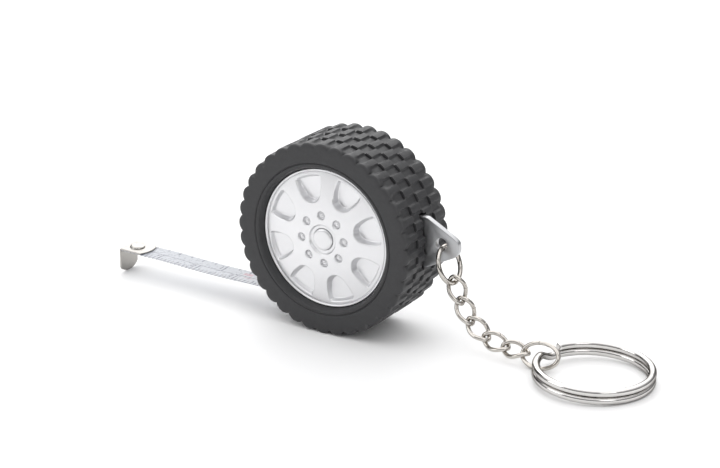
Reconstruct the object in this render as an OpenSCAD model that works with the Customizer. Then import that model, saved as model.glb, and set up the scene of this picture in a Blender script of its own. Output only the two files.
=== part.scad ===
// Pocket tape measure in the shape of a small car wheel, on a key chain.
// +Z is up, the tape leaves the case towards -X, the key tab is on the +X side,
// and the wheel's axis runs along Y. The origin is on the surface that the wheel
// stands on, under the middle of the whole object.

/* [Case] */
// Radius of the wheel over its tread blocks
tyre_r = 20.75; // [20.6:0.05:21.2]
// Half the width of the case over its side walls
tyre_half = 8.3; // [8.2:0.1:8.8]
// Radius of the floor between the tread blocks
tread_floor_r = 19.85; // [19.7:0.05:19.95]
// Number of tread blocks round one row
tread_blocks = 36; // [32:2:40]
// Inner radius of the hollow case
case_in_r = 16.85; // [16.75:0.05:16.95]

/* [Wheel trim] */
// Radius of the silver wheel trim
trim_r = 15.0; // [14.9:0.05:15.0]
// Number of pockets and of studs in the trim
trim_count = 8; // [6:1:9]
// Direction of the first pocket, in degrees
pocket_phase = 18; // [0:1:44]
// Direction of the first stud, in degrees
stud_phase = 3.8; // [0:0.1:44]

/* [Tape] */
// Width of the steel tape
tape_w = 6.0; // [5.6:0.1:6.4]
// Thickness of the steel tape
tape_t = 0.12; // [0.1:0.01:0.14]
// Length of tape outside the wheel's centre plane, to the face of the hook
tape_out = 56.5; // [50:0.1:60]
// Slope of the pulled-out tape, in degrees
tape_tilt = 1.1; // [0.8:0.1:1.3]

/* [Brake] */
// Radius of the release button
button_r = 2.33; // [2.2:0.01:2.36]
// Travel of the release button
button_travel = 0.7; // [0.5:0.05:0.7]

/* [Key chain] */
// Wire radius of the chain links
link_wire = 0.44; // [0.4:0.01:0.45]
// Radius of the split ring to the middle of its wire
split_r = 11.6; // [11.4:0.1:11.8]
// Wire radius of the split ring
split_wire = 0.78; // [0.74:0.01:0.8]

/* [Hidden] */
$fn = 96;
wheel_x = -7.59;             // wheel axis from the origin, along X
pitch = 360 / tread_blocks;
wheel_z = tyre_r * cos(pitch * 0.195);   // the wheel stands on the corners of two blocks
coil_r = 16.25;              // outside of the wound tape
rivet_in = 2.7;              // rivet's axis behind the hook's outer face
line_r = 16.30;              // the tape's straight run passes this far below the axis
screw_r = 17.75;             // screw circle
screw_dirs = [60, 180, 300];

// ---- helpers ----
// everything below is drawn about the wheel's axis, then stood on the ground
module wheel() { translate([wheel_x, 0, wheel_z]) children(); }
// a profile of [radius, y] points, or a solid along local z, turned so that local z is world y
module along_y() { rotate([-90, 0, 0]) children(); }
module disc(r, y0, y1) { along_y() translate([0, 0, y0]) cylinder(r = r, h = y1 - y0); }
module ring(r0, r1, y0, y1) {
    along_y() rotate_extrude() polygon([[r0, y0], [r1, y0], [r1, y1], [r0, y1]]);
}
// the tape's own straight run: local -X points out of the case
module tape_run() { rotate([0, tape_tilt, 0]) children(); }
function polar(r, a) = [r * cos(a), -r * sin(a)];

// ---- tread ----
// one row of blocks, as a toothed wheel; the teeth stand on the tread floor
module tread_row(y0, y1, r, phase, top = 3.05, foot = 4.1) {
    along_y() translate([0, 0, y0]) difference() {
        linear_extrude(y1 - y0)
            polygon([for (i = [0:tread_blocks - 1]) for (c = [[tread_floor_r - 0.25, -foot], [r, -top], [r, top], [tread_floor_r - 0.25, foot]])
                polar(c[0], 270 + phase + i * pitch + c[1] * 36 / tread_blocks)]);
        translate([0, 0, -1]) cylinder(r = 18.3, h = y1 - y0 + 2);
    }
}
// slot in the case that the tape and the hook's plate pass through
module tape_mouth() {
    tape_run() translate([-26, -tape_w / 2 - 0.45, -line_r - 0.75]) cube([23, tape_w + 0.9, 1.9]);
}
// pocket that holds the root of the key tab
module tab_pocket() { translate([17.3, -0.66, -4.7]) cube([1.4, 1.32, 12]); translate([18.5, -0.66, -4.4]) cube([3, 1.32, 11.3]); }

module front_shell() {
    color([0.2, 0.2, 0.21]) wheel() difference() {
        union() {
            along_y() rotate_extrude() polygon([
                [1.35, -4.25], [3.0, -4.25], [3.0, -5.5], [trim_r + 0.05, -5.5], [trim_r + 0.05, -7.0], [15.4, -7.75],
                [15.9, -tyre_half], [18.9, -tyre_half], [19.5, -tyre_half + 0.25], [tread_floor_r, -tyre_half + 0.7],
                [tread_floor_r, 0], [case_in_r, 0], [case_in_r, -4.6], [4.2, -4.6], [4.2, -3.2], [2.6, -3.2],
                [2.6, -3.8], [1.35, -3.8]]);
            tread_row(-7.55, -3.95, tyre_r, 0);
            tread_row(-8.0, -7.4, tyre_r - 0.4, 0);
            tread_row(-3.65, -0.1, tyre_r, pitch / 2);
        }
        tape_mouth();
        tab_pocket();
        for (a = screw_dirs) translate([screw_r * cos(a), 0, screw_r * sin(a)]) disc(0.6, -5, 1);
    }
}

module rear_shell() {
    color([0.2, 0.2, 0.21]) wheel() difference() {
        union() {
            along_y() rotate_extrude() polygon([
                [0, 4.6], [case_in_r, 4.6], [case_in_r, 0], [tread_floor_r, 0], [tread_floor_r, tyre_half - 0.7],
                [19.5, tyre_half - 0.25], [18.9, tyre_half], [15.9, tyre_half], [15.4, 7.75], [trim_r + 0.05, 7.0],
                [trim_r + 0.05, 5.5], [0, 5.5]]);
            tread_row(3.95, 7.55, tyre_r, pitch / 2);
            tread_row(7.4, 8.0, tyre_r - 0.4, pitch / 2);
            tread_row(0.1, 3.65, tyre_r, 0);
            // two pins that stop the brake plate from turning
            for (s = [-1, 1]) translate([s * 5.6, 0, 0]) disc(0.7, 2.45, 4.8);
        }
        tape_mouth();
        tab_pocket();
        for (a = screw_dirs) translate([screw_r * cos(a), 0, screw_r * sin(a)]) { disc(0.6, -1, 7.5); disc(1.05, 7.0, 9); }
    }
}

// ---- wheel trims ----
function dome(r) = 6.65 + 1.3 * (1 - pow(r / 14.95, 2));
// outline of one pocket: a rounded triangle with its point towards the hub
function pocket_pt(t) = let (c = cos(t), s = sin(t),
        u = c > 0 ? 2.9 * pow(c, 0.62) : -3.35 * pow(-c, 1.0),
        w = 2.95 * s * (1 + 0.10 * c)) [10.9 + u, w];
function turn2(p, a) = [p[0] * cos(a) - p[1] * sin(a), p[0] * sin(a) + p[1] * cos(a)];
module trim_body(hole) {
    pts = [for (i = [0:8]) let (r = hole + (14.3 - hole) * i / 8) [r, -dome(r)]];
    difference() {
        along_y() rotate_extrude() polygon(concat([[hole, -5.5]], pts, [[14.45, -6.85], [14.85, -6.85], [trim_r, -6.65], [trim_r, -5.5]]));
        for (i = [0:trim_count - 1]) {
            along_y() translate([0, 0, -9]) linear_extrude(9 - 5.95)
                polygon([for (k = [0:27]) turn2(pocket_pt(k * 360 / 28), -(pocket_phase + i * 360 / trim_count))]);
            a = stud_phase + i * 360 / trim_count;
            translate([5.15 * cos(a), 0, 5.15 * sin(a)]) difference() {
                disc(0.86, -9, -7.15);
                disc(0.5, -9.5, -7);
            }
        }
        ring(2.41, 3.1, -9, -7.45);
    }
}
module front_trim() { color([0.85, 0.85, 0.86]) wheel() trim_body(2.41); }
module rear_trim() {
    color([0.85, 0.85, 0.86]) wheel() mirror([0, 1, 0]) union() { trim_body(2.41); disc(2.41, -7.9, -5.5); }
}

// ---- pieces that belong to the case ----
module key_tab() {
    // triangular plate with a rounded point and one hole, held by a cross bar inside the case
    color([0.72, 0.73, 0.74]) wheel() translate([0, -0.65, 0]) rotate([-90, 0, 0]) linear_extrude(1.3) difference() {
        union() {
            translate([17.35, -6.9]) square([1.2, 11.2]);
            polygon([[18.3, -6.7], [20.6, -6.7], [27.35, -3.0], [28.0, -2.1], [28.2, -1.2], [27.9, -0.2], [27.3, 0.6], [20.6, 4.2], [18.3, 4.2]]);
        }
        translate([24.1, -1.5]) circle(r = 1.3);
    }
}
module case_screws() {
    color([0.5, 0.5, 0.52]) wheel() for (a = screw_dirs) translate([screw_r * cos(a), 0, screw_r * sin(a)]) difference() {
        union() { disc(0.55, -4.6, 7.1); disc(0.95, 7.05, 7.75); }
        translate([-0.7, 7.45, -0.14]) cube([1.4, 1, 0.28]);
        translate([-0.14, 7.45, -0.7]) cube([0.28, 1, 1.4]);
    }
}
module spring_arbor() {
    color([0.75, 0.76, 0.78]) wheel() difference() {
        ring(1.37, 2.58, -3.78, 2.1);
        translate([1.0, -3.1, -0.15]) cube([2, 4.9, 0.3]);
    }
}

// ---- drum, springs, tape ----
module drum() {
    color([0.9, 0.9, 0.88]) wheel() along_y() rotate_extrude() polygon([
        [4.28, -4.15], [16.5, -4.15], [16.5, -3.65], [14.9, -3.65], [14.9, 3.65], [16.5, 3.65], [16.5, 4.15],
        [14.2, 4.15], [14.2, -3.55], [5.0, -3.55], [5.0, -3.25], [4.28, -3.25]]);
}
module drum_cover() {
    color([0.9, 0.9, 0.88]) wheel() ring(2.66, 14.18, 1.7, 2.15);
}
// flat steel strip wound from the arbor out to the drum wall
module mainspring() {
    n = 9 * 20;
    function sp(i, off) = let (f = i / n, r = 2.85 + 11.05 * pow(f, 0.8) + off) polar(r, 360 * 9 * f);
    color([0.35, 0.37, 0.42]) wheel() along_y() translate([0, 0, -3.15]) linear_extrude(4.65)
        polygon(concat([for (i = [0:n]) sp(i, 0)], [for (i = [n:-1:0]) sp(i, 0.18)]));
}
module tape_coil() { color([0.86, 0.89, 0.95]) wheel() ring(14.95, coil_r, -tape_w / 2, tape_w / 2); }
module tape_blade() {
    color([0.86, 0.89, 0.95]) wheel() tape_run() difference() {
        translate([-tape_out + 0.4, -tape_w / 2, -line_r - tape_t]) cube([tape_out - 0.4 - 3, tape_w, tape_t]);
        translate([-tape_out + rivet_in, 0, -line_r - 1]) cylinder(r = 0.8, h = 2);
    }
}
module end_hook() {
    color([0.78, 0.77, 0.74]) wheel() tape_run() difference() {
        union() {
            translate([-tape_out, 0, -line_r]) linear_extrude(0.35) intersection() {
                translate([0.1, -tape_w / 2]) square([6.4, tape_w]);
                translate([0.9, 0]) circle(r = 5.6);
            }
            // leg, with its lower corners rounded
            translate([-tape_out, 0, -line_r]) rotate([0, 90, 0]) linear_extrude(0.35)
                intersection() {
                    translate([-0.35, -tape_w / 2]) square([5.85, tape_w]);
                    translate([0.86, 0]) circle(r = 4.64);
                }
        }
        translate([-tape_out + rivet_in, 0, -line_r - 1]) cylinder(r = 0.8, h = 2);
    }
}
module hook_rivet() {
    color([0.82, 0.81, 0.78]) wheel() tape_run() translate([-tape_out + rivet_in, 0, -line_r]) rotate_extrude()
        polygon([[0, -0.42], [1.2, -0.42], [1.35, -0.32], [1.35, -tape_t], [0.8, -tape_t], [0.8, 0.35], [1.7, 0.35], [1.66, 0.55], [1.25, 0.78], [0.6, 0.9], [0, 0.93]]);
}

// ---- brake ----
module release_button() {
    color([0.85, 0.85, 0.86]) wheel() along_y() rotate_extrude() polygon([
        [0, -7.95], [1.6, -7.92], [2.1, -7.85], [button_r, -7.65], [button_r, -5.48], [2.85, -5.48], [2.85, -5.05], [1.27, -5.05], [1.27, 2.5], [0, 2.5]]);
}
module brake_plate() {
    color([0.45, 0.46, 0.48]) wheel() difference() {
        union() {
            disc(9.5, 2.55, 3.15);
            ring(7.5, 9.4, 2.19, 2.6);
        }
        for (s = [-1, 1]) translate([s * 5.6, 0, 0]) disc(0.8, 2, 4);
        disc(0.6, 2, 4);
    }
}
// cone spring between the brake plate and the rear half of the case
function cone_c(i, n) = let (f = i / n, a = 900 * f, r = 2.3 + 2.2 * f) [r * cos(a), 3.36 + 1.05 * f, r * sin(a)];
module brake_spring() {
    n = 50; m = 6; w = 0.16;
    pts = [for (i = [0:n]) let (c = cone_c(i, n), a = 900 * i / n) for (k = [0:m - 1])
        [c[0] + w * cos(k * 60) * cos(a), c[1] + w * sin(k * 60), c[2] + w * cos(k * 60) * sin(a)]];
    color([0.75, 0.76, 0.78]) wheel() polyhedron(pts, concat([[for (k = [0:m - 1]) k]],
        [for (i = [0:n - 1]) for (k = [0:m - 1]) [i * m + k, (i + 1) * m + k, (i + 1) * m + (k + 1) % m, i * m + (k + 1) % m]],
        [[for (k = [m - 1:-1:0]) n * m + k]]), convexity = 8);
}

// ---- key chain ----
// direction of a chain piece in the XZ plane: 0 points to +X, -90 straight down
function dirv(a) = [cos(a), 0, sin(a)];
function crossv(a) = [-sin(a), 0, cos(a)];
// a flat wire ring standing on edge in the plane of Y and the direction a
module wire_ring(c, a, r, w) {
    wheel() translate([c[0], 0, c[1]]) rotate([0, -a, 0]) rotate_extrude() translate([r, 0]) circle(r = w, $fn = 24);
}
// closed wire of n rings and m sides through the points of a list
module closed_wire(path, w, m = 8) {
    n = len(path);
    function unit(v) = v / norm(v);
    pts = [for (i = [0:n - 1]) let (t = unit(path[(i + 1) % n] - path[(i + n - 1) % n]),
            mid = path[i] - wire_centre(path), b = unit(cross(t, mid)), o = unit(cross(b, t)))
        for (k = [0:m - 1]) path[i] + w * (cos(k * 360 / m) * o + sin(k * 360 / m) * b)];
    polyhedron(pts, [for (i = [0:n - 1]) for (k = [0:m - 1])
        [i * m + k, i * m + (k + 1) % m, ((i + 1) % n) * m + (k + 1) % m, ((i + 1) % n) * m + k]], convexity = 6);
}
function wire_centre(path) = [for (j = [0:2]) let (s = [for (p = path) p[j]]) (max(s) + min(s)) / 2];
// curb link: an oval whose two ends are twisted a quarter turn against each other about its length
link_len = 2.95;    // half length to the wire's middle
link_wid = 1.62;    // half width to the wire's middle
function link_path(c, a, roll) = [for (k = [0:27]) let (t = k * 360 / 28, l = link_len * cos(t), h = link_wid * sin(t) * (1 - 0.06 * cos(2 * t)),
        tw = 45 * (1 - cos(t)) + roll) [c[0], 0, c[1]] + l * dirv(a) + h * (cos(tw) * [0, 1, 0] + sin(tw) * crossv(a))];
module chain_link(j0, j1, roll = 0) {
    c = (j0 + j1) / 2; a = atan2(j1[1] - j0[1], j1[0] - j0[0]);
    color([0.8, 0.79, 0.77]) wheel() closed_wire(link_path(c, a, roll), link_wire);
}
// joints of the chain, from the wheel's axis: where one wire bears on the next
J = [[24.34, 0.87], [26.88, -5.74], [28.61, -10.03], [30.92, -14.03], [34.61, -16.81], [39.09, -17.93], [43.7, -18.2], [47.9, -18.5]];
module tab_ring() { color([0.8, 0.79, 0.77]) wire_ring([25.723, -2.729], -69, 3.85, 0.5); }
module chain_link_1() { chain_link(J[1], J[2]); }
module chain_link_2() { chain_link(J[2], J[3]); }
module chain_link_3() { chain_link(J[3], J[4]); }
module chain_link_4() { chain_link(J[4], J[5]); }
module chain_link_5() { chain_link(J[5], J[6], -12); }
// oval ring that leans over and holds the split ring
module end_ring() {
    c = J[6] + 3.35 * [cos(3), sin(3)];
    color([0.8, 0.79, 0.77]) wheel() closed_wire([for (k = [0:31]) let (t = k * 360 / 32)
        [c[0], 0, c[1]] + 4.05 * cos(t) * dirv(3) + 2.6 * sin(t) * (cos(30) * crossv(3) + sin(30) * [0, 1, 0])], link_wire);
}
// two turns of wire, one on the other, with one step where the upper turn goes down to the lower
split_c = [59.1, -18.7];
split_lean = 2.2;           // the side held by the end ring is raised
split_start = 175;
module split_ring() {
    n = 104; m = 8;
    function zs(a) = (split_wire + 0.02) * -sin(max(-90, min(90, (a - 360) * 7.5)));
    function pt(i, k) = let (a = 20 + i * 680 / n, o = split_r + split_wire * cos(k * 360 / m), z = zs(a) - split_wire * sin(k * 360 / m),
            x = o * cos(split_start - a), y = o * sin(split_start - a))
        [split_c[0] + x * cos(split_lean) + z * sin(split_lean), y, split_c[1] - x * sin(split_lean) + z * cos(split_lean)];
    pts = [for (i = [0:n]) for (k = [0:m - 1]) pt(i, k)];
    color([0.78, 0.78, 0.77]) wheel() polyhedron(pts, concat([[for (k = [m - 1:-1:0]) k]],
        [for (i = [0:n - 1]) for (k = [0:m - 1]) [i * m + k, i * m + (k + 1) % m, (i + 1) * m + (k + 1) % m, (i + 1) * m + k]],
        [[for (k = [0:m - 1]) n * m + k]]), convexity = 8);
}

front_shell();
rear_shell();
front_trim();
rear_trim();
key_tab();
case_screws();
spring_arbor();
drum();
drum_cover();
mainspring();
tape_coil();
tape_blade();
end_hook();
hook_rivet();
release_button();
brake_plate();
brake_spring();
tab_ring();
chain_link_1();
chain_link_2();
chain_link_3();
chain_link_4();
chain_link_5();
end_ring();
split_ring();
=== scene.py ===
import bpy, bmesh, math
import numpy as np
from mathutils import Vector, Matrix


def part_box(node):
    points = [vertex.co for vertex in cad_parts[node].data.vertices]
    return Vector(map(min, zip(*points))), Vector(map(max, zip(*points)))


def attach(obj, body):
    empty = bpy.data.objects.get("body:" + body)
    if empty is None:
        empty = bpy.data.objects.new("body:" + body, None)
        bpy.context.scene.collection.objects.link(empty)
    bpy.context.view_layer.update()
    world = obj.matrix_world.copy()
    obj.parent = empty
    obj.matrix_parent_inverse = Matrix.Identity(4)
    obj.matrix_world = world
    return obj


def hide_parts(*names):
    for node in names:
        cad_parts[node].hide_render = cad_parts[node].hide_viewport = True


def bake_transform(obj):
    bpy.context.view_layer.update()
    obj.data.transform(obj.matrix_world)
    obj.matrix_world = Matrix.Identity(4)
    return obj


# Looks of a small keychain tape measure in the shape of an off-road wheel.
# Lengths are millimetres in the wheel's own frame (origin on the wheel's axis, mid-width); W() takes them to the row frame.
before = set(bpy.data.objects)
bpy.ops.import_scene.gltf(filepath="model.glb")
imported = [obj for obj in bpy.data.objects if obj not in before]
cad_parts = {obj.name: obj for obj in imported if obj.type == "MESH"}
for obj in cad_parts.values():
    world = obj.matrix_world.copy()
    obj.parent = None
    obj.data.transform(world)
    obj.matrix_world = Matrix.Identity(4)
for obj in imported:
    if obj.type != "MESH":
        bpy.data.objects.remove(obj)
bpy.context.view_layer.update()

MM = 0.001
_lo, _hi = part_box("release_button")
WX, WZ = (_lo.x + _hi.x) / 2, (_lo.z + _hi.z) / 2
TILT = math.radians(1.1)          # the tape leaves the wheel at this slope
LINE = 16.30                      # top of the blade below the axis, in the tape's frame
OUT = 56.50                       # outer face of the hook, in the tape's frame


def W(p):
    p = np.asarray(p, float).reshape(-1, 3) * MM
    return p + np.array([WX, 0.0, WZ])


def T(p):
    """from the tape's frame to the wheel's frame"""
    p = np.asarray(p, float).reshape(-1, 3)
    c, s = math.cos(TILT), math.sin(TILT)
    return np.stack([p[:, 0] * c + p[:, 2] * s, p[:, 1], -p[:, 0] * s + p[:, 2] * c], 1)


# ------------------------------------------------------------------ mesh helpers
def make(name, verts_mm, faces, sharp=35.0, fix=True):
    me = bpy.data.meshes.new(name)
    me.from_pydata([tuple(v) for v in W(verts_mm)], [], faces)
    bm = bmesh.new()
    bm.from_mesh(me)
    bmesh.ops.remove_doubles(bm, verts=bm.verts, dist=1e-7)
    if fix:
        bmesh.ops.recalc_face_normals(bm, faces=bm.faces)
    shade(bm, sharp)
    bm.to_mesh(me)
    bm.free()
    o = bpy.data.objects.new(name, me)
    bpy.context.scene.collection.objects.link(o)
    return o


def shade(bm, sharp):
    lim = math.radians(sharp)
    for f in bm.faces:
        f.smooth = True
    for e in bm.edges:
        e.smooth = not (len(e.link_faces) == 2 and e.calc_face_angle(0.0) > lim)


def reshade(o, sharp, fix=False, merge=0.0):
    bm = bmesh.new()
    bm.from_mesh(o.data)
    if merge:
        bmesh.ops.remove_doubles(bm, verts=bm.verts, dist=merge)
    if fix:
        bmesh.ops.recalc_face_normals(bm, faces=bm.faces)
    shade(bm, sharp)
    bm.to_mesh(o.data)
    bm.free()


def baked(o):
    """modifiers and curve settings turned into the mesh itself"""
    bpy.context.view_layer.update()
    dg = bpy.context.evaluated_depsgraph_get()
    me = bpy.data.meshes.new_from_object(o.evaluated_get(dg), depsgraph=dg)
    name = o.name
    n = bpy.data.objects.new(name + "_m", me)
    n.matrix_world = o.matrix_world.copy()
    bpy.context.scene.collection.objects.link(n)
    bpy.data.objects.remove(o)
    n.name = name
    return n


def lathe(profile, n, closed=False, shift=None):
    """profile of (r, y); a point with r 0 is a pole; shift(phi, i) -> radius array, not used"""
    prof = np.asarray(profile, float)
    m = len(prof)
    verts, index = [], {}
    for j in range(n):
        a = 2 * math.pi * j / n
        for i in range(m):
            if prof[i, 0] <= 1e-9:
                if i not in index:
                    index[i] = len(verts)
                    verts.append((0.0, prof[i, 1], 0.0))
                index[(j, i)] = index[i]
            else:
                index[(j, i)] = len(verts)
                verts.append((prof[i, 0] * math.cos(a), prof[i, 1], prof[i, 0] * math.sin(a)))
    faces = []
    for j in range(n):
        k = (j + 1) % n
        for i in range(m if closed else m - 1):
            q = [index[(j, i)], index[(j, (i + 1) % m)], index[(k, (i + 1) % m)], index[(k, i)]]
            q = [v for t, v in enumerate(q) if v != q[t - 1]]
            if len(q) > 2:
                faces.append(q)
    return verts, faces


def grid_faces(n, m, wrap_n=True, wrap_m=True):
    j = np.arange(n if wrap_n else n - 1)[:, None]
    i = np.arange(m if wrap_m else m - 1)[None, :]
    a = j * m + i
    b = j * m + (i + 1) % m
    c = ((j + 1) % n) * m + (i + 1) % m
    d = ((j + 1) % n) * m + i
    return np.stack([a, b, c, d], -1).reshape(-1, 4).tolist()


def sweep(path, radius, m, closed=True, up=None, caps=True, taper=0.0):
    """round wire along the points of path (n x 3); open wires get rounded ends"""
    p = np.asarray(path, float)
    n = len(p)
    if closed:
        t = np.roll(p, -1, 0) - np.roll(p, 1, 0)
    else:
        t = np.gradient(p, axis=0)
    t /= np.linalg.norm(t, axis=1)[:, None]
    mid = (p.max(0) + p.min(0)) / 2
    ref = p - mid if up is None else np.tile(np.asarray(up, float), (n, 1))
    b = np.cross(t, ref)
    b /= np.linalg.norm(b, axis=1)[:, None]
    o = np.cross(b, t)
    k = np.arange(m) * 2 * math.pi / m
    rad = np.full(n, radius)
    ring = p[:, None, :] + rad[:, None, None] * (np.cos(k)[None, :, None] * o[:, None, :] + np.sin(k)[None, :, None] * b[:, None, :])
    verts = ring.reshape(-1, 3).tolist()
    faces = grid_faces(n, m, closed, True)
    if not closed:
        for end, s in ((0, -1), (n - 1, 1)):
            last = [end * m + q for q in range(m)]
            for f in (0.55, 0.85):
                rr = radius * math.sqrt(1 - f * f)
                base = len(verts)
                c = p[end] + t[end] * s * radius * 0.35 * f
                for q in range(m):
                    verts.append((c + rr * (math.cos(k[q]) * o[end] + math.sin(k[q]) * b[end])).tolist())
                for q in range(m):
                    faces.append([last[q], last[(q + 1) % m], base + (q + 1) % m, base + q])
                last = [base + q for q in range(m)]
            faces.append(last)
    return verts, faces


# ------------------------------------------------------------------ materials
def nodes_of(name):
    m = bpy.data.materials.new(name)
    m.use_nodes = True
    nt = m.node_tree
    return m, nt, nt.nodes["Principled BSDF"]


class Net:
    """short names for building node graphs"""

    def __init__(self, nt):
        self.nt = nt

    def put(self, sock, v):
        if isinstance(v, bpy.types.NodeSocket):
            self.nt.links.new(v, sock)
        elif v is not None:
            sock.default_value = v

    def math(self, op, a, b=None, c=None, clamp=False):
        n = self.nt.nodes.new("ShaderNodeMath")
        n.operation = op
        n.use_clamp = clamp
        self.put(n.inputs[0], a)
        if b is not None:
            self.put(n.inputs[1], b)
        if c is not None:
            self.put(n.inputs[2], c)
        return n.outputs[0]

    def coords(self, kind="Object"):
        return self.nt.nodes.new("ShaderNodeTexCoord").outputs[kind]

    def noise(self, scale, detail=3.0, rough=0.55, vec=None, kind="Fac"):
        n = self.nt.nodes.new("ShaderNodeTexNoise")
        n.inputs["Scale"].default_value = scale
        n.inputs["Detail"].default_value = detail
        n.inputs["Roughness"].default_value = rough
        self.put(n.inputs["Vector"], vec if vec is not None else self.coords())
        return n.outputs[0] if kind == "Fac" else n.outputs["Color"]

    def ramp(self, fac, stops):
        n = self.nt.nodes.new("ShaderNodeValToRGB")
        el = n.color_ramp.elements
        while len(el) < len(stops):
            el.new(0.5)
        for e, (pos, col) in zip(el, stops):
            e.position = pos
            e.color = (*col, 1.0) if len(col) == 3 else col
        self.put(n.inputs[0], fac)
        return n.outputs[0]

    def mix(self, fac, a, b, mode="MIX"):
        n = self.nt.nodes.new("ShaderNodeMix")
        n.data_type = "RGBA"
        n.blend_type = mode
        self.put(n.inputs[0], fac)
        self.put(n.inputs[6], a if isinstance(a, bpy.types.NodeSocket) else (*a, 1.0))
        self.put(n.inputs[7], b if isinstance(b, bpy.types.NodeSocket) else (*b, 1.0))
        return n.outputs[2]

    def range(self, v, a, b, c, d):
        n = self.nt.nodes.new("ShaderNodeMapRange")
        self.put(n.inputs["Value"], v)
        for k, x in zip(("From Min", "From Max", "To Min", "To Max"), (a, b, c, d)):
            n.inputs[k].default_value = x
        return n.outputs[0]

    def bump(self, height, strength, distance):
        n = self.nt.nodes.new("ShaderNodeBump")
        n.inputs["Strength"].default_value = strength
        n.inputs["Distance"].default_value = distance
        self.put(n.inputs["Height"], height)
        return n.outputs[0]

    def edge(self):
        return self.nt.nodes.new("ShaderNodeNewGeometry").outputs["Pointiness"]

    def scaled(self, s, vec=None):
        n = self.nt.nodes.new("ShaderNodeMapping")
        n.inputs["Scale"].default_value = s
        self.put(n.inputs["Vector"], vec if vec is not None else self.coords())
        return n.outputs[0]


def plain_material(name, base, rough, metal=0.0, var=0.06, cell=900.0, bump=0.15, grain=9000.0, dist=2e-5,
                   edge_highlight=None, crease_shade=None, spec=None, coat=0.0, rough_var=0.06, zone=None, rim=None):
    """colour and gloss that drift a little, fine grain, lighter edges as painted highlight and darker creases as
    painted shade
    """
    m, nt, sh = nodes_of(name)
    g = Net(nt)
    dark = tuple(c * (1 - var) for c in base)
    light = tuple(min(1.0, c * (1 + var)) for c in base)
    col = g.ramp(g.noise(cell, 4), [(0.3, dark), (0.7, light)])
    # painted highlight: lighter colour on convex edges; painted shade: darker colour in creases, both read from
    # pointiness
    if edge_highlight is not None or crease_shade is not None:
        p = g.edge()
        up, down = g.range(p, 0.515, 0.56, 0.0, 0.55), g.range(p, 0.485, 0.42, 0.0, 0.8)
        if zone:                                          # only beyond this distance from the wheel's axis
            sep = nt.nodes.new("ShaderNodeSeparateXYZ")
            g.put(sep.inputs[0], g.coords())
            dx, dz = g.math("SUBTRACT", sep.outputs["X"], WX), g.math("SUBTRACT", sep.outputs["Z"], WZ)
            r = g.math("SQRT", g.math("ADD", g.math("MULTIPLY", dx, dx), g.math("MULTIPLY", dz, dz)))
            inside = g.range(r, zone * MM, (zone + 0.5) * MM, 0.0, 1.0)
            up, down = g.math("MULTIPLY", up, inside), g.math("MULTIPLY", down, inside)
        if edge_highlight is not None:
            col = g.mix(up, col, edge_highlight)
        if crease_shade is not None:
            col = g.mix(down, col, crease_shade)
    nt.links.new(col, sh.inputs["Base Color"])
    nt.links.new(g.range(g.noise(cell * 2.3, 3), 0.3, 0.7, rough - rough_var, rough + rough_var), sh.inputs["Roughness"])
    sh.inputs["Metallic"].default_value = metal
    if spec is not None:
        sh.inputs["Specular IOR Level"].default_value = spec
    if coat:
        sh.inputs["Coat Weight"].default_value = coat
        sh.inputs["Coat Roughness"].default_value = 0.25
    nt.links.new(g.bump(g.noise(grain, 3, 0.6), bump, dist), sh.inputs["Normal"])
    if rim is not None:                                   # metal seen edge-on
        sh.inputs["Specular Tint"].default_value = (*rim, 1.0)
    return m


def brushed(name, base, rough, axis_scale, bump=0.12, var=0.05):
    """metal with fine lines along one direction"""
    m, nt, sh = nodes_of(name)
    g = Net(nt)
    lines = g.noise(1.0, 4, 0.6, vec=g.scaled(axis_scale))
    col = g.ramp(lines, [(0.25, tuple(c * (1 - var) for c in base)), (0.75, tuple(min(1.0, c * (1 + var)) for c in base))])
    nt.links.new(col, sh.inputs["Base Color"])
    nt.links.new(g.range(lines, 0.3, 0.7, rough - 0.05, rough + 0.07), sh.inputs["Roughness"])
    sh.inputs["Metallic"].default_value = 1.0
    nt.links.new(g.bump(lines, bump, 1.5e-5), sh.inputs["Normal"])
    return m


M = {}
# tyre: painted highlight on the tread blocks' edges and painted shade in the tread's creases, only beyond 19.2 mm from
# the axis
M["tyre"] = plain_material("tyre_black", (0.036, 0.036, 0.038), 0.52, var=0.05, cell=700, bump=0.22, grain=7000, dist=2.2e-5,
                           edge_highlight=(0.085, 0.085, 0.088), crease_shade=(0.008, 0.008, 0.009), spec=0.40, zone=19.2)
M["trim"] = plain_material("trim_silver", (0.745, 0.745, 0.757), 0.32, metal=0.85, var=0.010, cell=400, bump=0.025, grain=3000, dist=1.0e-5, rough_var=0.02)
M["button"] = plain_material("button_silver", (0.72, 0.72, 0.73), 0.30, metal=0.85, var=0.010, cell=400, bump=0.025, grain=3000, dist=1.0e-5, rough_var=0.02)
M["tab"] = brushed("tab_metal", (0.475, 0.48, 0.49), 0.36, (900, 900, 26000), bump=0.10, var=0.05)
# chain: painted highlight on the wires' convex curves and painted shade in their concave curves
M["chain"] = plain_material("chain_nickel", (0.54, 0.51, 0.475), 0.14, metal=1.0, rim=(0.22, 0.20, 0.18), var=0.05, cell=1300, bump=0.10, grain=5200, dist=1.2e-5,
                            edge_highlight=(0.66, 0.64, 0.60), crease_shade=(0.20, 0.18, 0.16), rough_var=0.04)
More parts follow.
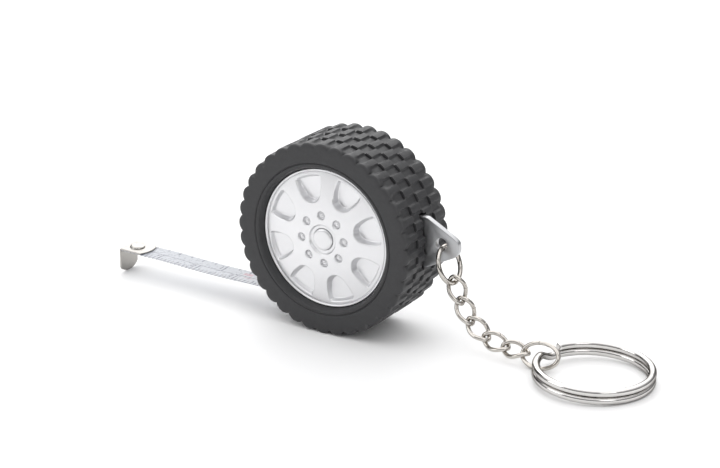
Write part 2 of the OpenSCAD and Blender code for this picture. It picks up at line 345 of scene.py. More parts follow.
# split ring: painted highlight on the wire's convex curves and painted shade in its concave curves
M["ring"] = plain_material("ring_nickel", (0.62, 0.605, 0.59), 0.10, metal=1.0, rim=(0.22, 0.21, 0.20), var=0.04, cell=900, bump=0.06, grain=4200, dist=1.2e-5,
                           edge_highlight=(0.86, 0.85, 0.84), crease_shade=(0.25, 0.25, 0.25), rough_var=0.04)
M["hook"] = brushed("hook_nickel", (0.40, 0.385, 0.365), 0.33, (1200, 22000, 1200), bump=0.07, var=0.05)
M["rivet"] = plain_material("rivet_nickel", (0.46, 0.445, 0.42), 0.26, metal=1.0, var=0.05, cell=1500, bump=0.08, grain=6000, dist=1e-5, rough_var=0.05)
M["steel"] = plain_material("dark_steel", (0.36, 0.36, 0.37), 0.30, metal=1.0, var=0.08, cell=1500, bump=0.10, grain=6000, dist=1e-5, rough_var=0.05)
M["spring"] = plain_material("spring_steel", (0.30, 0.32, 0.36), 0.28, metal=1.0, var=0.08, cell=800, bump=0.06, grain=6000, dist=1e-5, rough_var=0.05)
M["drum"] = plain_material("drum_plastic", (0.55, 0.55, 0.53), 0.45, var=0.04, cell=600, bump=0.12, grain=6000, dist=1.5e-5)
M["brake"] = plain_material("brake_plastic", (0.20, 0.21, 0.23), 0.50, var=0.05, cell=600, bump=0.12, grain=6000, dist=1.5e-5)


def tape_material():
    """white enamel with printed ticks and numerals, laid out from the hook's outer face along the blade"""
    m, nt, sh = nodes_of("tape_print")
    g = Net(nt)
    co = g.coords()
    dot = nt.nodes.new("ShaderNodeVectorMath")
    dot.operation = "DOT_PRODUCT"
    g.put(dot.inputs[0], co)
    c, s_ = math.cos(TILT), math.sin(TILT)
    dot.inputs[1].default_value = (c * 1000, 0.0, -s_ * 1000)
    off = -(WX * 1000 * c - WZ * 1000 * s_) + OUT
    s = g.math("ADD", dot.outputs["Value"], off)            # mm from the hook's outer face
    sep = nt.nodes.new("ShaderNodeSeparateXYZ")
    g.put(sep.inputs[0], co)
    y = g.math("MULTIPLY", sep.outputs["Y"], 1000.0)        # mm across, near edge -3.5

    def between(v, a, b):
        return g.math("MULTIPLY", g.math("GREATER_THAN", v, a), g.math("LESS_THAN", v, b))

    def comb(period, width, phase=0.0):
        f = g.math("WRAP", g.math("SUBTRACT", s, phase), period / 2, -period / 2)
        return g.math("LESS_THAN", g.math("ABSOLUTE", f), width / 2)

    def both(*v):
        r = v[0]
        for q in v[1:]:
            r = g.math("MULTIPLY", r, q)
        return r

    def any_(*v):
        r = v[0]
        for q in v[1:]:
            r = g.math("MAXIMUM", r, q)
        return r

    marks = [
        both(comb(1.0, 0.30), between(y, -3.1, -1.75)),
        both(comb(5.0, 0.34), between(y, -3.1, -1.25)),
        both(comb(10.0, 0.36), between(y, -3.1, -0.1)),
        both(comb(25.4 / 8, 0.30), between(y, 2.2, 3.1)),
        both(comb(25.4 / 4, 0.32), between(y, 1.7, 3.1)),
        both(comb(25.4, 0.36), between(y, 0.1, 3.1)),
        between(y, -0.08, 0.12),
    ]
    # numerals from strokes, upright when the hook is on the left: a top, b/c right, d bottom, e/f left, g middle
    strokes = {"1": "bc", "2": "abged", "3": "abgcd", "4": "fgbc", "5": "afgcd", "6": "afgedc", "7": "abc", "8": "abcdefg", "9": "abcdfg", "0": "abcdef"}

    def digit(ch, cx, cy, w, h, t):
        out = []
        for k in strokes[ch]:
            x0, x1, y0, y1 = {
                "a": (cx - w, cx + w, cy + h - t, cy + h + t), "g": (cx - w, cx + w, cy - t, cy + t), "d": (cx - w, cx + w, cy - h - t, cy - h + t),
                "f": (cx - w - t, cx - w + t, cy, cy + h), "b": (cx + w - t, cx + w + t, cy, cy + h),
                "e": (cx - w - t, cx - w + t, cy - h, cy), "c": (cx + w - t, cx + w + t, cy - h, cy)}[k]
            out.append(both(between(s, x0, x1), between(y, y0, y1)))
        return any_(*out)

    for k in range(1, 5):
        marks.append(digit(str(k), 10 * k - 1.35, -0.98, 0.42, 0.55, 0.13))
    marks.append(digit("1", 25.4 - 1.3, 1.5, 0.45, 0.85, 0.16))
    ink = any_(*marks)
    # the red marks near the case, on the far half
    red = any_(both(between(s, 30.7, 33.0), between(y, 0.65, 1.75)), g.math("MULTIPLY", both(between(s, 31.8, 33.8), between(y, -0.85, -0.15)), 0.5))
    tint = g.ramp(g.noise(420, 3), [(0.3, (0.350, 0.367, 0.402)), (0.7, (0.385, 0.402, 0.437))])
    col = g.mix(g.math("MULTIPLY", ink, 0.84), tint, (0.06, 0.063, 0.10))
    col = g.mix(g.math("MULTIPLY", red, 0.50), col, (0.42, 0.12, 0.15))
    nt.links.new(col, sh.inputs["Base Color"])
    nt.links.new(g.range(g.noise(1400, 3), 0.3, 0.7, 0.24, 0.34), sh.inputs["Roughness"])
    nt.links.new(g.bump(g.math("ADD", g.math("MULTIPLY", ink, 0.5), g.noise(5200, 2)), 0.06, 1e-5), sh.inputs["Normal"])
    return m


M["tape"] = tape_material()


def dress(o, mat, body, nodes=()):
    o.data.materials.clear()
    o.data.materials.append(M[mat])
    if body:
        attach(o, body)
    if nodes:
        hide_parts(*nodes)
    return o


# ------------------------------------------------------------------ tyre
TREAD, FLOOR = 20.75, 20.22
ANG = 576


def smooth(t):
    t = np.clip(t, 0, 1)
    return t * t * (3 - 2 * t)


def block(d):
    """one tread block across the pitch, d degrees from its middle"""
    a = np.abs(d)
    return smooth((2.95 - a) / 1.15) * (1 - 0.10 * (a / 3.0) ** 2)


def slit(d):
    """narrow gap at a block's end, only as wide as the block's top"""
    return smooth((2.45 - np.abs(d)) / 0.5)


def off_centre(phi, phase):
    return (phi - 270.0 - phase + 5.0) % 10.0 - 5.0


def tyre_half(name, side):
    """side -1 is the button's side. Rounded staggered blocks, small pits beside them, a scalloped shoulder, side wall, bead and seat."""
    ph_out, ph_in = (0.0, 5.0) if side < 0 else (5.0, 0.0)
    rows = [(0.015, "seam"), (0.07, "seam"), (0.13, "tread"), (0.20, "tread"), (0.30, "tread"), (0.6, "tread"), (1.1, "tread"), (1.7, "tread"),
            (2.3, "tread"), (2.9, "tread"), (3.25, "tread"), (3.45, "tread"), (3.56, "tread"), (3.625, "tread"), (3.655, "tread"), (3.69, "tread"), (3.72, "tread"),
            (3.79, "tread"), (3.85, "tread"), (3.88, "tread"), (3.91, "tread"), (3.95, "tread"), (4.02, "tread"), (4.15, "tread"), (4.4, "tread"), (4.8, "tread"),
            (5.3, "tread"), (5.8, "tread"), (6.2, "tread"), (6.5, "tread"), (6.75, "tread"), (7.0, "tread"), (7.25, "tread"), (7.5, "tread"), (7.7, "tread"), (7.85, "tread")]
    wall = [(19.94, 7.99, .74), (19.87, 8.09, .70), (19.76, 8.17, .65), (19.60, 8.23, .58), (19.42, 8.27, .46), (19.18, 8.29, .28), (18.95, 8.30, .08), (18.7, 8.30, 0),
            (18.0, 8.30, 0), (17.2, 8.30, 0), (16.72, 8.30, 0), (16.60, 8.285, 0), (16.53, 8.20, 0), (16.47, 8.11, 0), (16.38, 8.08, 0), (16.30, 8.13, 0),
            (16.25, 8.22, 0), (16.18, 8.285, 0), (16.05, 8.30, 0), (15.88, 8.28, 0), (15.70, 8.20, 0), (15.56, 8.06, 0), (15.47, 7.88, 0), (15.41, 7.68, 0),
            (15.28, 7.30, 0), (15.12, 6.98, 0), (15.06, 6.6, 0), (15.05, 6.0, 0), (15.05, 5.52, 0)]
    if side < 0:
        inner = [(9.0, 5.52), (3.0, 5.52), (3.0, 4.25), (1.35, 4.25), (1.35, 3.8), (2.6, 3.8), (2.6, 3.2), (4.2, 3.2), (4.2, 4.6), (10.0, 4.6), (16.6, 4.6), (16.85, 4.35), (16.85, 2.0), (16.85, 0.015)]
    else:
        inner = [(9.0, 5.52), (0.4, 5.52), (0.4, 4.6), (10.0, 4.6), (16.6, 4.6), (16.85, 4.35), (16.85, 2.0), (16.85, 0.015)]
    phi = np.arange(ANG) * 360.0 / ANG
    d_o, d_i = off_centre(phi, ph_out), off_centre(phi, ph_in)
    scallop = 1 - (np.abs(d_o) / 5.0) ** 2.3
    cols = []
    for ay, kind in rows:
        if kind == "seam":
            r = FLOOR - 0.06 - (0.42 if ay < 0.05 else 0.22) * slit(d_i)
        else:
            e_in = float(smooth((ay - 0.10) / 0.06) * smooth((3.70 - ay) / 0.07))
            e_out = float(smooth((ay - 3.86) / 0.07))
            pit = float(smooth((ay - 3.68) / 0.05) * smooth((3.91 - ay) / 0.05))
            fade = float(smooth((ay - 6.1) / 1.6))                      # regular block -> scalloped shoulder
            top = 0.53 + 0.22 * fade
            shape = block(d_o) * (1 - fade) + scallop * fade
            crown = 1 - 0.05 * ((ay - 1.9) / 1.8) ** 2 if ay < 3.8 else 1 - 0.04 * ((ay - 5.3) / 1.5) ** 2 * (ay < 5.3)
            r = FLOOR - 0.24 * fade + 0.53 * e_in * block(d_i) * crown + top * e_out * shape * (crown if ay < 6 else 1)
            r = r - 0.40 * pit * np.maximum(slit(d_i), slit(d_o))
        cols.append(np.stack([r, np.full(ANG, ay)], -1))
    for r0, ay, s in wall:
        cols.append(np.stack([r0 + s * scallop, np.full(ANG, ay)], -1))
    for r0, ay in inner:
        cols.append(np.tile([r0, ay], (ANG, 1)))
    g = np.stack(cols, 1)
    a = np.radians(phi)[:, None]
    v = np.stack([g[..., 0] * np.cos(a), side * g[..., 1], g[..., 0] * np.sin(a)], -1)
    o = make(name, v.reshape(-1, 3), grid_faces(ANG, g.shape[1]), 50)
    # mouth for the tape and slot for the tab
    for lo, hi, tape in (((-26, -3.45, -17.05), (-3, 3.45, -15.15), True), ((18.2, -0.95, -4.75), (21.6, 0.95, 7.15), False)):
        b = np.array([(x, y, z) for x in (lo[0], hi[0]) for y in (lo[1], hi[1]) for z in (lo[2], hi[2])], float)
        if tape:
            b = T(b)
        cut = make("cut", b, [[0, 1, 3, 2], [4, 6, 7, 5], [0, 4, 5, 1], [2, 3, 7, 6], [0, 2, 6, 4], [1, 5, 7, 3]])
        mod = o.modifiers.new("c", "BOOLEAN")
        mod.operation, mod.object, mod.solver = "DIFFERENCE", cut, "EXACT"
        o = baked(o)
        bpy.data.objects.remove(cut)
    if side > 0:
        for ang in (60, 180, 300):
            c = (17.75 * math.cos(math.radians(ang)), 17.75 * math.sin(math.radians(ang)))
            vv, ff = lathe([(0, 7.0), (1.05, 7.0), (1.05, 7.4), (1.05, 8.18), (1.22, 8.6), (1.22, 9.0), (0, 9.0)], 40)
            vv = [(x + c[0], y, z + c[1]) for x, y, z in vv]
            cut = make("cut", vv, ff)
            mod = o.modifiers.new("c", "BOOLEAN")
            mod.operation, mod.object, mod.solver = "DIFFERENCE", cut, "EXACT"
            o = baked(o)
            bpy.data.objects.remove(cut)
    reshade(o, 50, merge=2e-7)
    return o


dress(tyre_half("tyre_front", -1), "tyre", "case", ["front_shell"])
dress(tyre_half("tyre_rear", 1), "tyre", "case", ["rear_shell"])


# ------------------------------------------------------------------ wheel trims
def dome(r):
    return 6.65 + 1.3 * (1 - (r / 14.95) ** 2)


def pocket_outline(k):
    """rounded triangle: a long edge along the rim, two tight corners, a round inner end"""
    def around(c, r, a0, a1, m):
        t = np.radians(np.linspace(a0, a1, m))
        return np.stack([c[0] + r * np.cos(t), c[1] + r * np.sin(t)], -1)

    ro, span, r1, c0, r0 = 13.74, 11.0, 0.62, (10.25, 0.0), 2.40
    c1 = ((ro - r1) * math.cos(math.radians(span)), (ro - r1) * math.sin(math.radians(span)))
    dx, dy = c1[0] - c0[0], c1[1] - c0[1]
    lean = math.degrees(math.atan2(dy, dx) + math.acos((r0 - r1) / math.hypot(dx, dy)))
    corner = around(c1, r1, span, lean, 12)
    inner = around(c0, r0, lean, 360 - lean, 40)
    t = np.linspace(0, 1, 14)[1:-1, None]
    out = np.array([math.cos(math.radians(lean)), math.sin(math.radians(lean))])
    side = corner[-1] * (1 - t) + inner[0] * t + out * 0.16 * np.sin(math.pi * t)
    upper = np.concatenate([corner, side])
    q = np.concatenate([around((0, 0), ro, -span, span, 24)[1:-1], upper, inner, (upper * [1, -1])[::-1]])
    a = math.radians(18 + 45 * k)
    return np.stack([q[:, 0] * math.cos(a) - q[:, 1] * math.sin(a), q[:, 0] * math.sin(a) + q[:, 1] * math.cos(a)], -1)


def signed(points, poly):
    """distance to a closed outline, negative inside"""
    best = np.full(len(points), 1e9)
    inside = np.zeros(len(points), bool)
    n = len(poly)
    for i in range(n):
        p, q = poly[i], poly[(i + 1) % n]
        e = q - p
        w = points - p
        t = np.clip((w @ e) / (e @ e), 0, 1)
        best = np.minimum(best, np.hypot(*(w - t[:, None] * e).T))
        cond = ((p[1] <= points[:, 1]) & (q[1] > points[:, 1])) | ((q[1] <= points[:, 1]) & (p[1] > points[:, 1]))
        with np.errstate(divide="ignore", invalid="ignore"):
            xi = p[0] + (points[:, 1] - p[1]) / (q[1] - p[1]) * e[0]
        inside ^= cond & (points[:, 0] < xi)
    return np.where(inside, -best, best)


def trim(name, side, boss):
    """domed disc with eight pockets, eight studs in dimples, a hub groove and a stepped rim"""
    rr = [2.42] if not boss else [0.6, 1.2, 1.8, 2.15, 2.28, 2.36, 2.42]
    rr += [2.50, 2.62, 2.76, 2.88, 2.98, 3.08, 3.18, 3.28, 3.38, 3.5, 3.7]
    rr += list(np.arange(3.9, 6.5, 0.085)) + list(np.arange(6.55, 14.15, 0.11))
    rr += [14.18, 14.26, 14.31, 14.36, 14.42, 14.47, 14.52, 14.58, 14.66, 14.76, 14.86, 14.93, 14.97, 15.0]
    rr = np.array(rr)
    n = 600
    a = np.arange(n) * 2 * math.pi / n
    R, A = np.meshgrid(rr, a)
    X, Z = R * np.cos(A), R * np.sin(A)
    P = np.stack([X.ravel(), Z.ravel()], -1)
    H = dome(R)
    # pockets with sloped walls and flat floors
    near = np.full(len(P), 9.0)
    for k in range(8):
        poly = pocket_outline(k)
        c = poly.mean(0)
        m = np.hypot(*(P - c).T) < 4.6
        near[m] = np.minimum(near[m], signed(P[m], poly))
    near = near.reshape(R.shape)
    slope = smooth((0.05 - near) / 0.62)
    slope = 0.45 * slope + 0.55 * np.clip((0.02 - near) / 0.56, 0, 1)
    H = H + (5.95 - H) * slope
    # studs
    for k in range(8):
        b = math.radians(3.8 + 45 * k)
        d = np.hypot(X - 5.15 * math.cos(b), Z - 5.15 * math.sin(b))
        pit = smooth((1.0 - d) / 0.30)
        stud = 0.52 * np.sqrt(np.clip(1 - (d / 0.58) ** 2, 0, 1))
        H = H - 0.62 * pit + stud
    # hub groove
    H = H - 0.50 * smooth((3.34 - R) / 0.42) * smooth((R - 2.30) / 0.1)
    if boss:
        H = np.where(R < 2.42, 7.9 - 0.12 * smooth((R - 2.1) / 0.3), H)
    # rim: fine groove, then a raised lip that rolls over
    H = H - 0.14 * np.exp(-((R - 14.40) / 0.06) ** 2)
    H = np.where(R > 14.5, 6.76 + 0.13 * smooth((R - 14.5) / 0.12) - 0.26 * smooth((R - 14.82) / 0.18) ** 2, H)
    top = np.stack([X, side * H, Z], -1)
    m = len(rr)
    back = np.stack([X[:, [m - 1, 0]], np.full((n, 2), side * 5.53), Z[:, [m - 1, 0]]], -1)
    g = np.concatenate([top, back], 1)
    verts = g.reshape(-1, 3).tolist()
    if not boss:
        return make(name, verts, grid_faces(n, m + 2), 60)
    faces = grid_faces(n, m + 2, True, False)
    verts.append((0, side * 7.9, 0))
    verts.append((0, side * 5.53, 0))
    w = m + 2
    for j in range(n):
        k = (j + 1) % n
        faces.append([j * w, k * w, len(verts) - 2])
        faces.append([j * w + w - 1, k * w + w - 1, len(verts) - 1])
    return make(name, verts, faces, 60)


dress(trim("trim_front", -1, False), "trim", "case", ["front_trim"])
dress(trim("trim_rear", 1, True), "trim", "case", ["rear_trim"])

# ------------------------------------------------------------------ release button
v, f = lathe([(0, -7.93), (0.5, -7.935), (1.1, -7.94), (1.6, -7.93), (1.95, -7.90), (2.12, -7.84), (2.25, -7.74), (2.31, -7.6), (2.33, -7.45), (2.33, -6.2), (2.33, -5.56), (2.85, -5.50), (2.85, -5.30),
              (2.85, -5.08), (1.27, -5.05), (1.27, 0.0), (1.27, 2.45), (1.2, 2.5), (0, 2.5)], 96)
dress(make("button_cap", v, f, 40), "button", "button", ["release_button"])


# ------------------------------------------------------------------ key tab
def key_tab():
    cu = bpy.data.curves.new("key_tab", "CURVE")
    cu.dimensions = "2D"
    cu.fill_mode = "BOTH"
    b = 0.13

    def ring(pts, r):
        """closed outline with its corners rounded"""
        out = []
        n = len(pts)
        for i in range(n):
            p, q, s = (np.array(pts[(i + k) % n], float) for k in (-1, 0, 1))
            u, w = p - q, s - q
            lu, lw = np.linalg.norm(u), np.linalg.norm(w)
            u, w = u / lu, w / lw
            c = min(r[i], 0.45 * lu, 0.45 * lw)
            p0, p1 = q + u * c, q + w * c
            for t in np.linspace(0, 1, 9):
                out.append((1 - t) ** 2 * p0 + 2 * t * (1 - t) * q + t * t * p1)
        return out

    outer = ring([(18.35, -4.2), (20.6, -4.2), (27.45, -0.75), (28.22, 0.55), (28.12, 2.45), (27.0, 3.3), (20.6, 6.7), (18.35, 6.7)], [.3, .5, 1.0, 1.0, 1.0, 1.0, .5, .3])
    hole = [(24.1 + 1.3 * math.cos(t), 1.5 + 1.3 * math.sin(t)) for t in np.linspace(0, 2 * math.pi, 48, endpoint=False)]
    for loop in (outer, hole):
        sp = cu.splines.new("POLY")
        sp.points.add(len(loop) - 1)
        for p, q in zip(sp.points, loop):
            p.co = (q[0] * MM, q[1] * MM, 0, 1)
        sp.use_cyclic_u = True
    cu.extrude = (0.65 - b) * MM
    cu.bevel_depth = b * MM
    cu.bevel_resolution = 2
    cu.offset = -b * MM
    o = bpy.data.objects.new("key_tab_plate", cu)
    bpy.context.scene.collection.objects.link(o)
    o = baked(o)
    # the outline's plane becomes XZ
    m = Matrix(((1, 0, 0, WX), (0, 0, -1, 0), (0, 1, 0, WZ), (0, 0, 0, 1)))
    o.data.transform(m)
    o.matrix_world = Matrix.Identity(4)
    reshade(o, 32, fix=True, merge=2e-6)
    return o


dress(key_tab(), "tab", "case", ["key_tab"])


# ------------------------------------------------------------------ tape
def slab(top, bottom):
    """closed thin solid from two grids of the same shape (n, m, 3)"""
    n, m = top.shape[:2]
    verts = np.concatenate([top.reshape(-1, 3), bottom.reshape(-1, 3)])
    k = n * m
    faces = []
    for i in range(n - 1):
        for j in range(m - 1):
            q = [i * m + j, i * m + j + 1, (i + 1) * m + j + 1, (i + 1) * m + j]
            faces.append(q)
            faces.append([k + x for x in q[::-1]])
    edge = [i * m for i in range(n)] + [(n - 1) * m + j for j in range(1, m)] + [i * m + m - 1 for i in range(n - 2, -1, -1)] + [j for j in range(m - 2, 0, -1)]
    for a, b in zip(edge, edge[1:] + edge[:1]):
        faces.append([a, b, k + b, k + a])
    return verts, faces


xs = np.linspace(-OUT + 0.42, -3.0, 265)
ys = np.linspace(-3.0, 3.0, 13)
X, Y = np.meshgrid(xs, ys, indexing="ij")
lift = 0.10 * (np.abs(Y) / 3.0) ** 2 * smooth((X + OUT - 6.5) / 6.0)        # edges stand a little proud away from the hook
lift = lift - 0.28 * np.sin(np.pi * np.clip((X + OUT - 6.5) / 36.0, 0, 1)) ** 2   # and the free length sags a little
top = np.stack([X, Y, -LINE + lift], -1)
bot = np.stack([X, Y, -LINE - 0.12 + lift], -1)
v, f = slab(T(top).reshape(top.shape), T(bot).reshape(bot.shape))
blade = make("tape_ribbon", v, f, 40)
blade.data.materials.append(M["tape"])
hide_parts("tape_blade")
tuple(W(T([(-3.0, 0, -LINE)]))[0])
tuple(W(T([(-50.1, 0, -LINE)]))[0])
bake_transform(blade)


# ------------------------------------------------------------------ end hook and rivet
def end_hook():
    t, rb, hw = 0.35, 0.42, 3.0
    path, width = [], []
    for k in range(15):                                  # shallow arc at the inner end
        w = hw * math.sin(math.pi / 2 * k / 14)
        path.append((-OUT + 0.9 + math.sqrt(5.6 ** 2 - w * w), -LINE))
        width.append(max(0.05, w))
    for x in np.linspace(5.45, rb + 0.05, 20):
        path.append((-OUT + x, -LINE))
        width.append(hw)
    for k in range(1, 9):                                # bend over the blade's end
        a = math.pi / 2 * k / 8
        path.append((-OUT + rb - rb * math.sin(a), -LINE - rb + rb * math.cos(a)))
        width.append(hw)
    for q in range(1, 13):
        path.append((-OUT, -LINE - rb - (4.02 - rb) * q / 12))
        width.append(hw)
    for k in range(1, 15):                               # the leg ends in an arc with soft corners
        z = 4.02 + 1.48 * math.sin(math.pi / 2 * k / 14)
        path.append((-OUT, -LINE - z))
        u = min(4.64, z - 0.86)
        width.append(max(0.05, min(hw * (1 - 0.10 * max(0.0, (z - 4.02) / 0.5) ** 2 if z < 4.52 else 1), math.sqrt(max(0.0, 4.64 ** 2 - u * u)))))
    p = np.array(path)
    tn = np.gradient(p, axis=0)
    tn /= np.linalg.norm(tn, axis=1)[:, None]
    nrm = np.stack([tn[:, 1], -tn[:, 0]], -1)             # outwards: up on the plate, away from the wheel on the leg
    if nrm[20, 1] < 0:
        nrm = -nrm
    m = 13
    v = np.sin(np.linspace(-math.pi / 2, math.pi / 2, m))

    def face(off):
        # the plate lies on the blade: its lower face is LINE, and the leg's outer face is OUT
        q = p + nrm * off
        return np.stack([np.repeat(q[:, :1], m, 1), np.array(width)[:, None] * v[None, :], np.repeat(q[:, 1:], m, 1)], -1)

    # inner face on the blade for the plate; the leg is shifted inside so that it ends at OUT
    outer, inner = face(t), face(0.0)
    shift = np.clip((-LINE - p[:, 1]) / rb, 0, 1) * t
    outer[..., 0] += shift[:, None]
    inner[..., 0] += shift[:, None]
    a, b = T(outer).reshape(outer.shape), T(inner).reshape(inner.shape)
    vv, ff = slab(a, b)
    o = make("end_hook_plate", vv, ff, 40)
    bv = o.modifiers.new("b", "BEVEL")
    bv.width, bv.segments, bv.limit_method, bv.angle_limit = 0.07 * MM, 2, "ANGLE", math.radians(50)
    o = baked(o)
    reshade(o, 40)
    return o


dress(end_hook(), "hook", "tape", ["end_hook"])
v, f = lathe([(0, 0.94), (0.45, 0.93), (0.9, 0.88), (1.25, 0.80), (1.48, 0.70), (1.62, 0.58), (1.69, 0.46), (1.70, 0.36), (0.8, 0.345), (0.8, -0.12), (1.3, -0.12), (1.35, -0.2), (1.3, -0.32), (1.0, -0.41), (0, -0.43)], 64)
v = T([(x - OUT + 2.7, -z, y - LINE) for x, y, z in v])
dress(make("hook_rivet_head", v, f, 30), "rivet", "tape", ["hook_rivet"])


# ------------------------------------------------------------------ chain
def dirv(a):
    return np.array([math.cos(math.radians(a)), 0, math.sin(math.radians(a))])


def crossv(a):
    return np.array([-math.sin(math.radians(a)), 0, math.cos(math.radians(a))])


YV = np.array([0, 1.0, 0])
J = np.array([[24.34, .87], [26.88, -5.74], [28.61, -10.03], [30.92, -14.03], [34.61, -16.81], [39.09, -17.93], [43.7, -18.2], [47.9, -18.5]])


def wire_piece(name, fn, radius, body, mat, node, gap_at=None, n=132, m=16):
    """closed wire, or one with a hairline butt joint at angle gap_at (degrees along the path)"""
    if gap_at is None:
        t = np.arange(n) * 2 * math.pi / n
        v, f = sweep([fn(x) for x in t], radius, m)
    else:
        e = 0.0016 * n / 10
        t = math.radians(gap_at) + np.linspace(e, 2 * math.pi - e, n)
        v, f = sweep([fn(x) for x in t], radius, m, closed=False)
    o = make(name, v, f, 60)
    return dress(o, mat, body, [node])


def ring_fn(c, a, r):
    cc = np.array([c[0], 0, c[1]])
    return lambda t: cc + r * math.cos(t) * dirv(a) + r * math.sin(t) * YV


def link_fn(i, roll=0.0):
    c2 = (J[i] + J[i + 1]) / 2
    a = math.degrees(math.atan2(J[i + 1][1] - J[i][1], J[i + 1][0] - J[i][0]))
    c = np.array([c2[0], 0, c2[1]])

    def fn(t):
        ll = 2.95 * math.cos(t)
        h = 1.62 * math.sin(t) * (1 - 0.06 * math.cos(2 * t))
        tw = math.radians(45 * (1 - math.cos(t)) + roll)
        return c + ll * dirv(a) + h * (math.cos(tw) * YV + math.sin(tw) * crossv(a))
    return fn


wire_piece("tab_ring_wire", ring_fn((25.723, -2.729), -69, 3.85), 0.5, "ring_a", "chain", "tab_ring", gap_at=12, n=160, m=18)
for i in range(1, 6):
    wire_piece(f"chain_link_{i}_wire", link_fn(i, -12.0 if i == 5 else 0.0), 0.44, f"link_{i}", "chain", f"chain_link_{i}", gap_at=90)
_c = J[6] + 3.35 * np.array([math.cos(math.radians(3)), math.sin(math.radians(3))])
_c3 = np.array([_c[0], 0, _c[1]])
_w = math.cos(math.radians(30)) * crossv(3) + math.sin(math.radians(30)) * YV
wire_piece("end_ring_wire", lambda t: _c3 + 4.05 * math.cos(t) * dirv(3) + 2.6 * math.sin(t) * _w, 0.44, "ring_b", "chain", "end_ring", gap_at=100, n=150)


# ------------------------------------------------------------------ split ring
def split_ring():
    R, wr, lean, start = 11.6, 0.78, math.radians(2.2), 175
    n, m = 440, 18
    rings = []
    for i in range(n + 1):
        a = 20 + i * 680 / n
        z0 = (wr + 0.02) * -math.sin(math.radians(max(-90, min(90, (a - 360) * 7.5))))
        row = []
        for k in range(m):
            b = 2 * math.pi * k / m
            # drawn wire with its sides pressed a little flat
            cx, cz = math.cos(b), math.sin(b)
            q = 1.0 / (abs(cx) ** 2.6 + abs(cz) ** 2.6) ** (1 / 2.6)
            rr, zz = R + wr * min(q, 1.06) * cx, z0 + wr * min(1.0, q) * cz
            zz = z0 + max(-wr, min(wr, zz - z0))
            x, y = rr * math.cos(math.radians(start - a)), rr * math.sin(math.radians(start - a))
            row.append((59.1 + x * math.cos(lean) + zz * math.sin(lean), y, -18.7 - x * math.sin(lean) + zz * math.cos(lean)))
        rings.append(row)
    v = [p for row in rings for p in row]
    f = grid_faces(n + 1, m, False, True)
    for end, s in ((0, -1), (n, 1)):
        last = [end * m + q for q in range(m)]
        ring = np.array(rings[end])
        c = ring.mean(0)
        nb = np.array(rings[1 if end == 0 else n - 1]).mean(0)
        d = (c - nb) / np.linalg.norm(c - nb)
        for frac, push in ((0.86, 0.10), (0.55, 0.16)):
            base = len(v)
            for p in ring:
                v.append(tuple(c + (p - c) * frac + d * push))
            for q in range(m):
                f.append([last[q], last[(q + 1) % m], base + (q + 1) % m, base + q])
            last = [base + q for q in range(m)]
        f.append(last)
    return make("split_ring_wire", v, f, 50)


dress(split_ring(), "ring", "key_ring", ["split_ring"])

# ------------------------------------------------------------------ CAD nodes that keep their shape
for node, key in (("case_screws", "steel"), ("spring_arbor", "steel"), ("drum", "drum"), ("drum_cover", "drum"), ("mainspring", "spring"),
                  ("tape_coil", "tape"), ("brake_plate", "brake"), ("brake_spring", "spring")):
    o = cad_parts[node]
    o.data.materials.clear()
    o.data.materials.append(M[key])

# ------------------------------------------------------------------ stage, light, camera
def floor():
    me = bpy.data.meshes.new("floor")
    s = 6.0
    me.from_pydata([(-s, -s, -2e-5), (s, -s, -2e-5), (s, s, -2e-5), (-s, s, -2e-5)], [], [[0, 1, 2, 3]])
    o = bpy.data.objects.new("floor", me)
    bpy.context.scene.collection.objects.link(o)
    m, nt, sh = nodes_of("floor_white")
    g = Net(nt)
    nt.links.new(g.ramp(g.noise(3.0, 2), [(0.3, (0.935, 0.935, 0.935)), (0.7, (0.95, 0.95, 0.95))]), sh.inputs["Base Color"])
    sh.inputs["Roughness"].default_value = 0.9
    sh.inputs["Specular IOR Level"].default_value = 0.1
    me.materials.append(m)


floor()


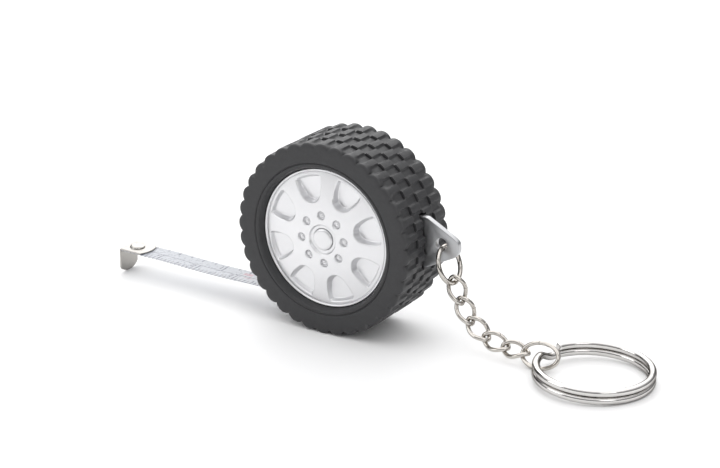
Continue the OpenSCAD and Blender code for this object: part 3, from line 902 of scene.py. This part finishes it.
def area(name, loc, target, size, energy, color=(1, 1, 1), size_y=None):
    li = bpy.data.lights.new(name, "AREA")
    li.shape = "RECTANGLE" if size_y else "SQUARE"
    li.size = size
    if size_y:
        li.size_y = size_y
    li.energy = energy
    li.color = color
    o = bpy.data.objects.new(name, li)
    o.location = loc
    o.rotation_euler = (Vector(target) - Vector(loc)).to_track_quat("-Z", "Y").to_euler()
    bpy.context.scene.collection.objects.link(o)
    return o


area("key_top", (-0.08, 0.14, 0.62), (0, 0, 0.01), 1.30, 4.4)
area("back_sheen", (-0.30, 0.52, 0.32), (0, 0, 0.02), 0.60, 2.2)
area("front_left", (-0.45, -0.45, 0.30), (0, 0, 0.02), 0.40, 0.9)
area("front_right", (0.50, -0.30, 0.35), (0, 0, 0.02), 0.30, 0.4)

world = bpy.data.worlds.new("studio")
bpy.context.scene.world = world
world.use_nodes = True
wn = world.node_tree
bg = wn.nodes["Background"]
g = Net(wn)
tc = wn.nodes.new("ShaderNodeTexCoord")
sep = wn.nodes.new("ShaderNodeSeparateXYZ")
wn.links.new(tc.outputs["Generated"], sep.inputs[0])
wn.links.new(g.ramp(g.range(sep.outputs["Z"], -1.0, 1.0, 0.0, 1.0), [(0.0, (0.2, 0.2, 0.2)), (0.50, (0.16, 0.16, 0.165)), (0.62, (0.30, 0.30, 0.305)), (0.80, (0.85, 0.85, 0.86)), (1.0, (1.0, 1.0, 1.0))]), bg.inputs["Color"])
bg.inputs["Strength"].default_value = 0.80

cam = bpy.data.cameras.new("camera")
cam.lens, cam.sensor_width = 115.0, 36.0
cam.clip_start, cam.clip_end = 0.01, 50.0
co = bpy.data.objects.new("camera", cam)
az, el = math.radians(32.06), math.radians(20.46)
back = Vector((math.sin(az) * math.cos(el), -math.cos(az) * math.cos(el), math.sin(el)))
right = Vector((math.cos(az), math.sin(az), 0))
up = back.cross(right)
co.location = Vector((WX, 0, WZ)) + (back * 479.62 + right * 3.62 - up * 1.12) * MM
co.rotation_mode = "QUATERNION"
co.rotation_quaternion = Matrix((right, up, back)).transposed().to_quaternion()
bpy.context.scene.collection.objects.link(co)
bpy.context.scene.camera = co
bpy.context.scene.view_settings.view_transform = "Standard"
bpy.context.scene.view_settings.look = "None"
bpy.context.scene.view_settings.exposure = 0.0
bpy.context.scene.view_settings.gamma = 1.0

bpy.context.view_layer.update()
